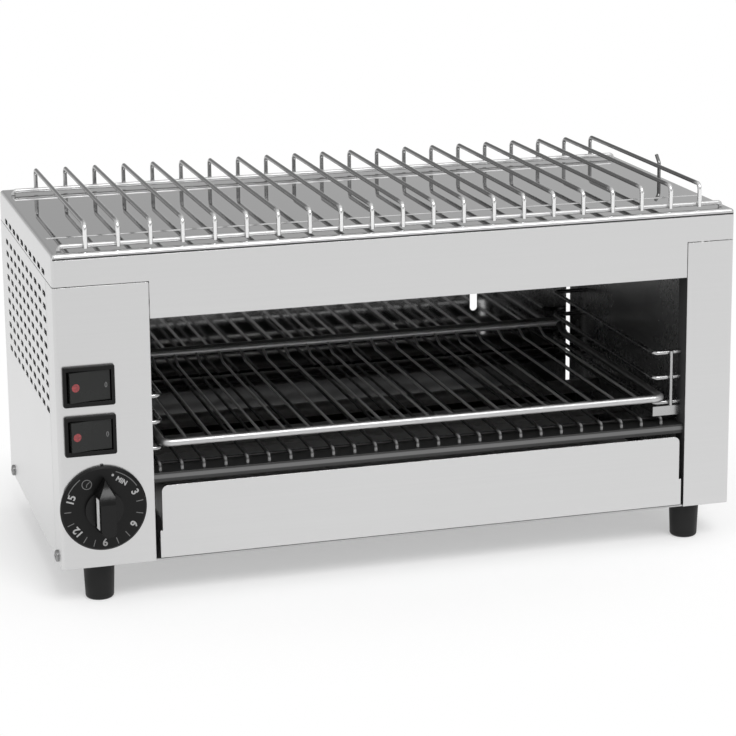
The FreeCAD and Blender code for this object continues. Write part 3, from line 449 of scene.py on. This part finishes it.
def depth_toned_wire(name, stops, roughness, metallic):
    """Wire whose brightness changes with depth: stops are along Y."""
    material, tree, shader = new_material(name, shade(stops[0][1]), metallic, roughness)
    clouds = noise(tree, scale=140.0, detail=3.0)
    wander = ramp_value(tree, clouds, -BAND_WANDER, BAND_WANDER)
    depth = math_node(tree, "ADD", coordinates(tree)["Y"], wander)
    tree.links.new(place_color(tree, depth, stops), shader.inputs["Base Color"])
    tree.links.new(ramp_value(tree, clouds, roughness * 0.8, roughness * 1.25),
                   shader.inputs["Roughness"])
    add_bump(tree, shader, clouds, depth=0.000003)
    return material, tree, shader


def guard_wire(name, roughness, metallic):
    """Guard wire in painted shade, painted glint at the lower ends of its turned-down fronts."""
    material, tree, shader = depth_toned_wire(name, GUARD_SHADE_STOPS, roughness, metallic)
    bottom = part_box("lower_tube_guard")[0].z
    stops = [(bottom + rise, value) for rise, value in HOOK_GLINT_STOPS]
    multiply_color(tree, shader, place_color(tree, coordinates(tree)["Z"], stops))
    return material


def plastic(name, value, roughness, edge=0.0004, tint=(1.0, 1.0, 1.0), specular=0.5):
    """Moulded plastic with a fine grain."""
    material, tree, shader = new_material(name, shade(value, tint), 0.0, roughness)
    shader.inputs["Specular IOR Level"].default_value = specular
    clouds = noise(tree, scale=60.0, detail=3.0)
    tree.links.new(ramp_value(tree, clouds, roughness * 0.85, roughness * 1.2),
                   shader.inputs["Roughness"])
    tree.links.new(ramp_color(tree, clouds, shade(value * 0.9, tint), shade(value * 1.1, tint)),
                   shader.inputs["Base Color"])
    grain = noise(tree, scale=1800.0, detail=2.0)
    add_bump(tree, shader, grain, depth=0.000015, edge=edge)
    return material


def coil_material():
    """Oxidised resistance wire."""
    material, tree, shader = new_material("coil", (0.10, 0.085, 0.075), 0.8, 0.55)
    patches = noise(tree, scale=120.0, detail=4.0)
    tree.links.new(ramp_color(tree, patches, (0.07, 0.06, 0.055), (0.16, 0.13, 0.11)),
                   shader.inputs["Base Color"])
    add_bump(tree, shader, patches, depth=0.00002)
    return material


def quartz_material():
    """Quartz glass, darkened grey as painted shade in the cavity."""
    material, tree, shader = new_material("quartz", (0.34, 0.335, 0.33), 0.0, 0.32)
    shader.inputs["IOR"].default_value = 1.46
    shader.inputs["Transmission Weight"].default_value = 0.85
    streaks = noise(tree, scale=1.0, detail=3.0, stretch=(6.0, 400.0, 400.0))
    tree.links.new(ramp_value(tree, streaks, 0.26, 0.42), shader.inputs["Roughness"])
    add_bump(tree, shader, streaks, depth=0.00001)
    return material


def lens_material():
    """Clear red plastic."""
    material, tree, shader = new_material("red_lens", (0.25, 0.02, 0.025), 0.0, 0.15)
    shader.inputs["Coat Weight"].default_value = 0.5
    facets = noise(tree, scale=900.0, detail=1.0)
    tree.links.new(ramp_color(tree, facets, (0.16, 0.014, 0.018), (0.34, 0.030, 0.035)),
                   shader.inputs["Base Color"])
    add_bump(tree, shader, facets, depth=0.00006)
    return material


def make_materials():
    """Every finish on the toaster, by name."""
    made = {
        "front_steel": front_sheet("front_steel", 0.67, 0.30),
        "top_steel": folded_cover("top_steel", PLATE, SKIRT),
        "rail_steel": banded_rail("rail_steel", 0.35),
        "guard_wire": guard_wire("guard_wire", 0.50, 0.2),
        "coil": coil_material(),
        "quartz": quartz_material(),
        "red_lens": lens_material(),
    }
    for name, (value, roughness, options) in STEELS.items():
        made[name] = steel(name, value, roughness, **options)[0]
    for name, (stops, roughness, metallic) in WIRE_DEPTH_BANDS.items():
        made[name] = depth_toned_wire(name, stops, roughness, metallic)[0]
    for name, (value, roughness, options) in PLASTICS.items():
        made[name] = plastic(name, value, roughness, **options)
    return made


def dress_nodes(nodes, materials):
    """Gives every CAD node its finish."""
    for name, node in nodes.items():
        node.data.materials.clear()
        node.data.materials.append(materials[FINISHES[name]])


def centre_of(node):
    """The middle of a CAD node's box."""
    low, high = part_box(node)
    return (low + high) / 2


def link(name, data, material, body, place=None):
    """Makes an object of the data, puts it in its place, rides it on a body and finishes it."""
    piece = bpy.data.objects.new(name, data)
    bpy.context.scene.collection.objects.link(piece)
    data.materials.append(material)
    if place is not None:
        piece.matrix_world = place
    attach(piece, body)
    return piece


def ribbon_mesh(name, strokes, width, thickness, to_face):
    """A thin raised mark. Each stroke is a run of 2-D points and whether it closes, and
    to_face turns a 2-D point and its rise into a 3-D point."""
    mesh = bpy.data.meshes.new(name)
    shape = bmesh.new()
    for points, closed in strokes:
        count = len(points)
        rails = []
        for i, point in enumerate(points):
            before = points[i - 1] if closed or i else point
            after = points[(i + 1) % count] if closed or i < count - 1 else point
            along = (Vector(after) - Vector(before)).normalized()
            side = Vector((-along.y, along.x)) * width / 2
            corners = (Vector(point) + side, Vector(point) - side)
            rails.append([shape.verts.new(to_face(corner, rise))
                          for rise in (0.0, thickness) for corner in corners])
        for i in range(count if closed else count - 1):
            a, b = rails[i], rails[(i + 1) % count]
            for j, k in ((0, 1), (1, 3), (3, 2), (2, 0)):
                shape.faces.new((a[j], a[k], b[k], b[j]))
        if not closed:
            for rail in (rails[0], rails[-1]):
                shape.faces.new((rail[0], rail[1], rail[3], rail[2]))
    bmesh.ops.recalc_face_normals(shape, faces=shape.faces)
    shape.to_mesh(mesh)
    shape.free()
    return mesh


def oval_points(centre, half_width, half_height, steps):
    """Points round an upright oval."""
    turns = (2 * math.pi * i / steps for i in range(steps))
    return [(centre[0] + half_width * math.cos(t), centre[1] + half_height * math.sin(t))
            for t in turns]


def polar(angle, radius):
    """A 2-D place at an angle clockwise from the top."""
    return (radius * math.sin(math.radians(angle)), radius * math.cos(math.radians(angle)))


def dial_marks(materials):
    """The dial's numbers, ticks, arcs, dot and little clock."""
    x = centre_of("timer_knob").x
    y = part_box("timer_dial")[0].y
    z = centre_of("timer_shaft").z

    def to_face(point, rise):
        return Vector((x + point[0], y - rise, z + point[1]))

    strokes = [([polar(a, TICK_INNER), polar(a, TICK_OUTER)], False) for a in DIAL_TICKS]
    for start, end in DIAL_ARCS:
        angles = [start + (end - start) * i / ARC_STEPS for i in range(ARC_STEPS + 1)]
        strokes.append(([polar(angle, ARC_RADIUS) for angle in angles], False))
    clock = polar(DIAL_CLOCK, CLOCK_PLACE)
    strokes.append((oval_points(clock, CLOCK_RADIUS, CLOCK_RADIUS, CLOCK_STEPS), True))
    for across, up in CLOCK_HANDS:
        tip = (clock[0] + CLOCK_RADIUS * across, clock[1] + CLOCK_RADIUS * up)
        strokes.append(([clock, tip], False))
    mesh = ribbon_mesh("dial_marks", strokes, MARK_WIDTH, MARK_THICKNESS, to_face)
    link("dial_marks", mesh, materials["mark_grey"], "housing")
    ring = oval_points(polar(DIAL_DOT, DOT_PLACE), DOT_RADIUS, DOT_RADIUS, DOT_STEPS)
    mesh = ribbon_mesh("dial_dot", [(ring, True)], DOT_WIDTH, MARK_THICKNESS, to_face)
    link("dial_dot", mesh, materials["mark_white"], "housing")
    words = [(text, angle, NUMBER_SIZE, NUMBER_RADIUS) for text, angle in DIAL_NUMBERS]
    words.append((*DIAL_UNIT, UNIT_SIZE, UNIT_RADIUS))
    for text, angle, size, radius in words:
        letters = bpy.data.curves.new(f"dial_text_{text}", "FONT")
        letters.body = text
        letters.size = size
        letters.align_x = "CENTER"
        letters.align_y = "CENTER"
        letters.extrude = MARK_THICKNESS
        letters.offset = LETTER_WEIGHT
        place = (
            Matrix.Translation(to_face(polar(angle, radius), 0.0))
            @ Matrix.Rotation(math.radians(angle), 4, "Y")
            @ Matrix.Rotation(math.radians(90), 4, "X")
        )
        link(f"dial_text_{text}", letters, materials["mark_white"], "housing",
             place)


def rocker_face(name, node):
    """The right half of a rocker's face: its outer corner and its crease, at middle height."""
    low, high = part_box(name)
    middle = (low + high) / 2
    points = [vert.co for vert in node.data.vertices]
    outer = min((p for p in points if p.x > high.x - ROCKER_REACH), key=lambda p: p.y)
    inner = min((p for p in points if abs(p.x - middle.x) < ROCKER_REACH), key=lambda p: p.y)
    return Vector((outer.x, outer.y, middle.z)), Vector((inner.x, inner.y, middle.z))


def rocker_marks(nodes, materials):
    """The small grey oval on the right of each rocker."""
    for name in ("upper", "lower"):
        outer, inner = rocker_face(f"{name}_rocker", nodes[f"{name}_rocker"])
        along = (outer - inner).normalized()
        out = Vector((along.y, -along.x, 0.0))
        if out.y > 0:
            out = -out
        place = inner + along * ROCKER_MARK_OFFSET

        def to_face(point, rise):
            return place + along * point[0] + Vector((0, 0, 1)) * point[1] + out * rise

        oval = oval_points((0.0, 0.0), *ROCKER_MARK_HALF, ROCKER_MARK_STEPS)
        mesh = ribbon_mesh(f"{name}_rocker_mark", [(oval, True)], ROCKER_MARK_WIDTH,
                           MARK_THICKNESS, to_face)
        link(f"{name}_rocker_mark", mesh, materials["mark_grey"], f"{name}_rocker")


def knob_highlight(materials):
    """A painted highlight: a white strip on the left flank of the knob's grip."""
    low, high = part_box("timer_knob")
    centre = centre_of("timer_shaft")
    root = high.y - GRIP_ROOT
    lean = (GRIP_HALF_ROOT - GRIP_HALF_FACE) / (root - low.y)

    def to_flank(point, rise):
        depth = HIGHLIGHT_DEPTH + point[0]
        return Vector((centre.x - GRIP_HALF_FACE - depth * lean - rise, low.y + depth,
                       centre.z + point[1]))

    strokes = [([(0.0, HIGHLIGHT_LOW), (0.0, HIGHLIGHT_HIGH)], False)]
    mesh = ribbon_mesh("knob_highlight", strokes, HIGHLIGHT_WIDTH, HIGHLIGHT_THICKNESS, to_flank)
    link("knob_highlight", mesh, materials["highlight_white"], "timer_knob")


def cover_groove_shade(materials):
    """Painted shade: a dark strip at the bottom of the groove under the top cover's front fold."""
    low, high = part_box("top_cover")
    y = low.y + GROOVE_DEPTH
    z = high.z - GROOVE_MIDDLE
    strokes = [([(low.x + FOLD_SHADE_MARGIN, z), (high.x - FOLD_SHADE_MARGIN, z)], False)]
    mesh = ribbon_mesh("cover_groove_shade", strokes, GROOVE_HEIGHT, FOLD_SHADE_THICKNESS,
                       lambda point, rise: Vector((point[0], y - rise, point[1])))
    link("cover_groove_shade", mesh, materials["groove_shade_grey"], "housing")


def islands(node):
    """The boxes of a CAD node's separate solids."""
    shape = bmesh.new()
    shape.from_mesh(node.data)
    bmesh.ops.remove_doubles(shape, verts=shape.verts, dist=WELD_DISTANCE)
    seen = set()
    boxes = []
    for vert in shape.verts:
        if vert in seen:
            continue
        group = [vert]
        seen.add(vert)
        for member in group:
            for edge in member.link_edges:
                other = edge.other_vert(member)
                if other not in seen:
                    seen.add(other)
                    group.append(other)
        low = Vector([min(v.co[i] for v in group) for i in range(3)])
        high = Vector([max(v.co[i] for v in group) for i in range(3)])
        boxes.append((low, high))
    shape.free()
    return boxes


def cross_slot(name, material, to_face):
    """A dark cross of painted shade for the cross slot in a screw's head."""
    half = SCREW_SLOT_LENGTH / 2
    strokes = [([(-half, 0), (half, 0)], False), ([(0, -half), (0, half)], False)]
    mesh = ribbon_mesh(name, strokes, SCREW_SLOT_WIDTH, MARK_THICKNESS, to_face)
    link(name, mesh, material, "housing")


def screw_slots(nodes, materials):
    """Dark crosses of painted shade for the slots in the screw heads of the sides and the back."""
    for number, (low, high) in enumerate(islands(nodes["side_screws"])):
        middle = (low + high) / 2
        outward = -1.0 if middle.x < 0 else 1.0
        face = low.x if middle.x < 0 else high.x
        cross_slot(
            f"side_screw_slot_{number}", materials["slot_shade"],
            lambda point, rise: Vector((face + outward * rise, middle.y + point[0],
                                        middle.z + point[1])))
    for number, (low, high) in enumerate(islands(nodes["back_screws"])):
        middle = (low + high) / 2
        cross_slot(
            f"back_screw_slot_{number}", materials["slot_shade"],
            lambda point, rise: Vector((middle.x + point[0], high.y + rise,
                                        middle.z + point[1])))


def heating_coils(nodes, materials):
    """Wound resistance wire in the place of the plain coil solids."""
    for bank in ("upper", "lower"):
        curve = bpy.data.curves.new(f"{bank}_coils", "CURVE")
        curve.dimensions = "3D"
        curve.bevel_depth = COIL_WIRE / 2
        curve.bevel_resolution = 1
        for low, high in islands(nodes[f"{bank}_heating_coils"]):
            middle = (low + high) / 2
            length = high.x - low.x
            radius = (high.y - low.y) / 2 - COIL_WIRE / 2
            count = int(length / COIL_PITCH * COIL_STEPS)
            spline = curve.splines.new("POLY")
            spline.points.add(count - 1)
            for i in range(count):
                angle = 2 * math.pi * i / COIL_STEPS
                spline.points[i].co = (
                    low.x + length * i / (count - 1),
                    middle.y + radius * math.cos(angle),
                    middle.z + radius * math.sin(angle),
                    1,
                )
        piece = link(f"{bank}_coils", curve, materials["coil"], "housing")
        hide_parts(f"{bank}_heating_coils")


def seen_directly(tree):
    """One where a camera, glossy or transmission ray looks, zero for the light that bounces."""
    rays = tree.nodes.new("ShaderNodeLightPath")
    result = rays.outputs["Is Camera Ray"]
    for kind in ("Is Glossy Ray", "Is Transmission Ray"):
        result = math_node(tree, "MAXIMUM", result, rays.outputs[kind])
    return result


def floor_material():
    """Pale floor that is seen as white away from the object and keeps the object's shadow."""
    material, tree, shader = new_material("floor", shade(FLOOR_BOUNCE), 0.0, FLOOR_ROUGHNESS)
    shader.inputs["Specular IOR Level"].default_value = 0.0
    seen = seen_directly(tree)
    greys = (*shade(FLOOR_BOUNCE), 1.0), (*shade(FLOOR_SEEN), 1.0)
    tree.links.new(mix_color(tree, "MIX", seen, *greys), shader.inputs["Base Color"])
    length = tree.nodes.new("ShaderNodeVectorMath")
    length.operation = "LENGTH"
    tree.links.new(scaled_place(tree, (1 / SHADOW_REACH[0], 1 / SHADOW_REACH[1], 1.0)),
                   length.inputs[0])
    away = ramp_value(tree, length.outputs["Value"], SHADOW_LIFT, 1.0, *SHADOW_FADE)
    white = tree.nodes.new("ShaderNodeEmission")
    choose = tree.nodes.new("ShaderNodeMixShader")
    tree.links.new(math_node(tree, "MULTIPLY", away, seen), choose.inputs["Fac"])
    tree.links.new(shader.outputs["BSDF"], choose.inputs[1])
    tree.links.new(white.outputs["Emission"], choose.inputs[2])
    tree.links.new(choose.outputs["Shader"], tree.nodes["Material Output"].inputs["Surface"])
    return material


def make_stage():
    """The pale floor."""
    mesh = bpy.data.meshes.new("floor")
    half = FLOOR_SIZE / 2
    corners = [(x, y, 0.0) for x, y in ((-half, -half), (half, -half), (half, half), (-half, half))]
    mesh.from_pydata(corners, [], [(0, 1, 2, 3)])
    mesh.materials.append(floor_material())
    floor = bpy.data.objects.new("floor", mesh)
    bpy.context.scene.collection.objects.link(floor)


def make_world():
    """A soft studio room: pale round the horizon, darkest partway up, and dimmer on the left."""
    world = bpy.data.worlds.new("studio")
    bpy.context.scene.world = world
    world.use_nodes = True
    tree = world.node_tree
    tree.nodes.clear()
    out = tree.nodes.new("ShaderNodeOutputWorld")
    room = tree.nodes.new("ShaderNodeBackground")
    direction = coordinates(tree, "Generated")
    heights = color_stops(tree, direction["Z"], [(at, shade(value)) for at, value in WORLD_STOPS])
    tree.links.new(heights, room.inputs["Color"])
    tree.links.new(ramp_value(tree, direction["X"], *WORLD_SIDE, *WORLD_SIDE_SPAN),
                   room.inputs["Strength"])
    tree.links.new(room.outputs["Background"], out.inputs["Surface"])


def make_lamps():
    """The wide soft lamps."""
    for name, direction, angle, strength in LAMPS:
        data = bpy.data.lights.new(name, "SUN")
        data.angle = math.radians(angle)
        data.energy = strength
        lamp = bpy.data.objects.new(name, data)
        bpy.context.scene.collection.objects.link(lamp)
        lamp.rotation_mode = "QUATERNION"
        lamp.rotation_quaternion = Vector(direction).to_track_quat("-Z", "Y")


def make_camera():
    """The camera at the photograph's viewing angle."""
    data = bpy.data.cameras.new("camera")
    data.sensor_width = CAMERA_SENSOR
    data.lens = CAMERA_LENS
    data.shift_y = CAMERA_SHIFT_Y
    camera = bpy.data.objects.new("camera", data)
    bpy.context.scene.collection.objects.link(camera)
    camera.matrix_world = (
        Matrix.Translation(CAMERA_PLACE)
        @ Matrix.Rotation(math.radians(-CAMERA_YAW), 4, "Z")
        @ Matrix.Rotation(math.radians(90 - CAMERA_PITCH), 4, "X")
        @ Matrix.Rotation(math.radians(CAMERA_ROLL), 4, "Z")
    )
    bpy.context.scene.camera = camera


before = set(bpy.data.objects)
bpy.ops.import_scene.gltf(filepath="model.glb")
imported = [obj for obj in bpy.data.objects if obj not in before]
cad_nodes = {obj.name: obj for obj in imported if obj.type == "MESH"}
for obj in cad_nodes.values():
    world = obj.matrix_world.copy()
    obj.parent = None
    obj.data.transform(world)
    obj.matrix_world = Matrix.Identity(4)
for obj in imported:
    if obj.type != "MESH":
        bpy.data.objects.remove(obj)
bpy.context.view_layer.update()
finishes = make_materials()
dress_nodes(cad_nodes, finishes)
dial_marks(finishes)
rocker_marks(cad_nodes, finishes)
knob_highlight(finishes)
cover_groove_shade(finishes)
screw_slots(cad_nodes, finishes)
heating_coils(cad_nodes, finishes)
make_stage()
make_world()
make_camera()
make_lamps()
bpy.context.scene.view_settings.view_transform = "Standard"
